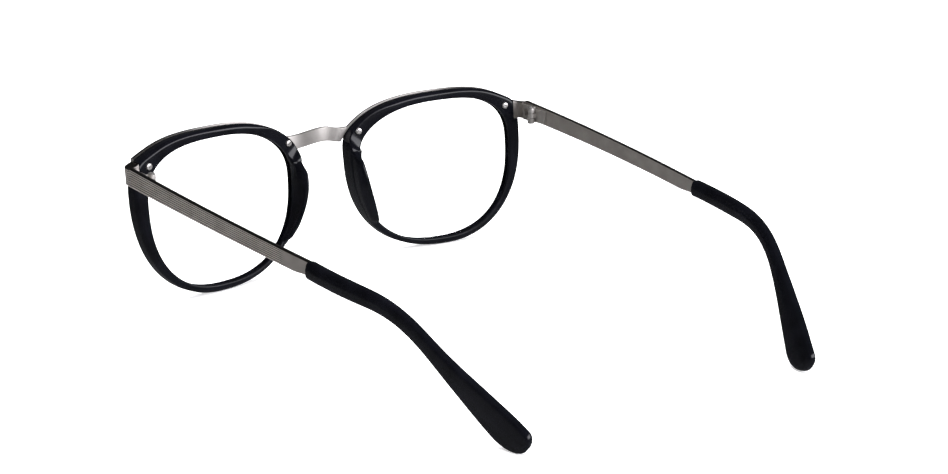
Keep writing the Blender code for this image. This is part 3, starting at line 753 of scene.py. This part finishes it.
def build_object():
    black = acetate()
    # The pewter's last colour is its painted shade colour, for the grooves, top edges and dark reflections.
    pewter = plated("pewter", (0.68, 0.625, 0.585), (0.78, 0.725, 0.685), 0.8, (0.34, 0.44), (30, 0.6, 30),
                    (0.01, 0.0085, 0.0075))
    silver = plated("satin_metal", (0.45, 0.425, 0.405), (0.54, 0.515, 0.49), 0.88, (0.5, 0.58), (8, 8, 30))
    steel = plated("screw_steel", (0.4, 0.385, 0.37), (0.58, 0.56, 0.55), 0.84, (0.22, 0.32), (5, 5, 5))
    glass = clear_lens()
    fixed = (
        ("rim", make_rim(), black, "acetate"), ("lens", make_lens(), glass, "lens"),
        ("nose_pad", make_nose_pad(), black, "acetate"), ("brow_bar", make_brow_bar(), silver, "satin_metal"),
        ("endpiece", make_endpiece(), pewter, "pewter"),
        ("hinge_front", make_front_hinge(), silver, "satin_metal"),
        ("hinge_screw", make_hinge_screw(), steel, "screw_steel"),
        ("rim_screw_nasal", make_rim_screw("nasal"), steel, "screw_steel"),
        ("rim_screw_temporal", make_rim_screw("temporal"), steel, "screw_steel"))
    moving = (
        ("temple", make_temple(), pewter, "pewter"), ("temple_tip", make_tip(), black, "acetate"),
        ("hinge_rear", make_rear_hinge(), silver, "satin_metal"))
    for pieces, moves in ((fixed, False), (moving, True)):
        for base, left, finish, slot in pieces:
            left.name = f"{base}_left_piece"
            right = mirrored(left, f"{base}_right_piece")
            for side, piece in (("left", left), ("right", right)):
                finish_piece(piece, finish, f"temple_{side}" if moves else "front", f"{base}_{side}")
    finish_piece(make_bridge(), silver, "front", "bridge")
    for side in ("left", "right"):
        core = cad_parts[f"core_wire_{side}"]
        core.data.materials.clear()
        core.data.materials.append(steel)


def area_light(name, at, target, size, power, colour=(1, 1, 1)):
    data = bpy.data.lights.new(name, "AREA")
    data.shape = "RECTANGLE"
    data.size, data.size_y = size
    data.energy = power
    data.color = colour
    lamp = bpy.data.objects.new(name, data)
    lamp.location = at
    lamp.rotation_euler = (Vector(target) - Vector(at)).to_track_quat("-Z", "Y").to_euler()
    lamp.visible_camera = False
    bpy.context.scene.collection.objects.link(lamp)
    return lamp


def build_stage():
    bm = bmesh.new()
    bmesh.ops.create_circle(bm, cap_ends=True, radius=6.0, segments=96)
    floor = new_object("floor", bm)
    floor.location.z = -0.00002
    white, _, _, shader = new_material("floor_white", (0.9, 0.9, 0.9), 0.9)
    shader.inputs["Specular IOR Level"].default_value = 0.0
    shader.inputs["Emission Color"].default_value = (1, 1, 1, 1)
    shader.inputs["Emission Strength"].default_value = 0.55
    floor.data.materials.append(white)
    floor.visible_glossy = False

    world = bpy.data.worlds.new("studio")
    bpy.context.scene.world = world
    world.use_nodes = True
    nodes, links = world.node_tree.nodes, world.node_tree.links
    shown = nodes["Background"]
    shown.inputs["Color"].default_value = (1, 1, 1, 1)
    shown.inputs["Strength"].default_value = 1.05
    lighting = nodes.new("ShaderNodeBackground")
    lighting.inputs["Color"].default_value = (0.95, 0.97, 1.0, 1)
    direction = nodes.new("ShaderNodeTexCoord")
    parts = nodes.new("ShaderNodeSeparateXYZ")
    links.new(direction.outputs["Generated"], parts.inputs["Vector"])
    height = nodes.new("ShaderNodeMapRange")
    height.inputs["From Min"].default_value = -0.42
    height.inputs["From Max"].default_value = -0.08
    height.inputs["To Min"].default_value = 0.26
    height.inputs["To Max"].default_value = 0.04
    links.new(parts.outputs["Z"], height.inputs["Value"])
    links.new(height.outputs["Result"], lighting.inputs["Strength"])
    path = nodes.new("ShaderNodeLightPath")
    mix = nodes.new("ShaderNodeMixShader")
    links.new(path.outputs["Is Camera Ray"], mix.inputs["Fac"])
    links.new(lighting.outputs["Background"], mix.inputs[1])
    links.new(shown.outputs["Background"], mix.inputs[2])
    links.new(mix.outputs["Shader"], nodes["World Output"].inputs["Surface"])

    overhead = area_light("overhead", (0.1, 0.0, 1.6), (0, 0, 0), (1.9, 1.9), 62)
    overhead.visible_glossy = False
    area_light("behind", (-0.85, 1.45, 0.55), (0, 0, 0), (2.1, 0.9), 52, (0.95, 0.95, 1.0))
    bpy.context.scene.view_settings.view_transform = "Standard"


def build_camera():
    data = bpy.data.cameras.new("camera")
    data.lens = CAMERA_LENS
    data.sensor_width = 36
    data.shift_x, data.shift_y = CAMERA_SHIFT
    data.clip_start = 0.01
    data.clip_end = 50
    camera = bpy.data.objects.new("camera", data)
    camera.location = CAMERA_AT * MM
    back = (CAMERA_AT - CAMERA_TARGET).normalized()
    right = CAMERA_ROLL_UP.cross(back).normalized()
    camera.rotation_euler = Matrix((right, back.cross(right), back)).transposed().to_euler()
    bpy.context.scene.collection.objects.link(camera)
    bpy.context.scene.camera = camera


build_object()
build_stage()
build_camera()
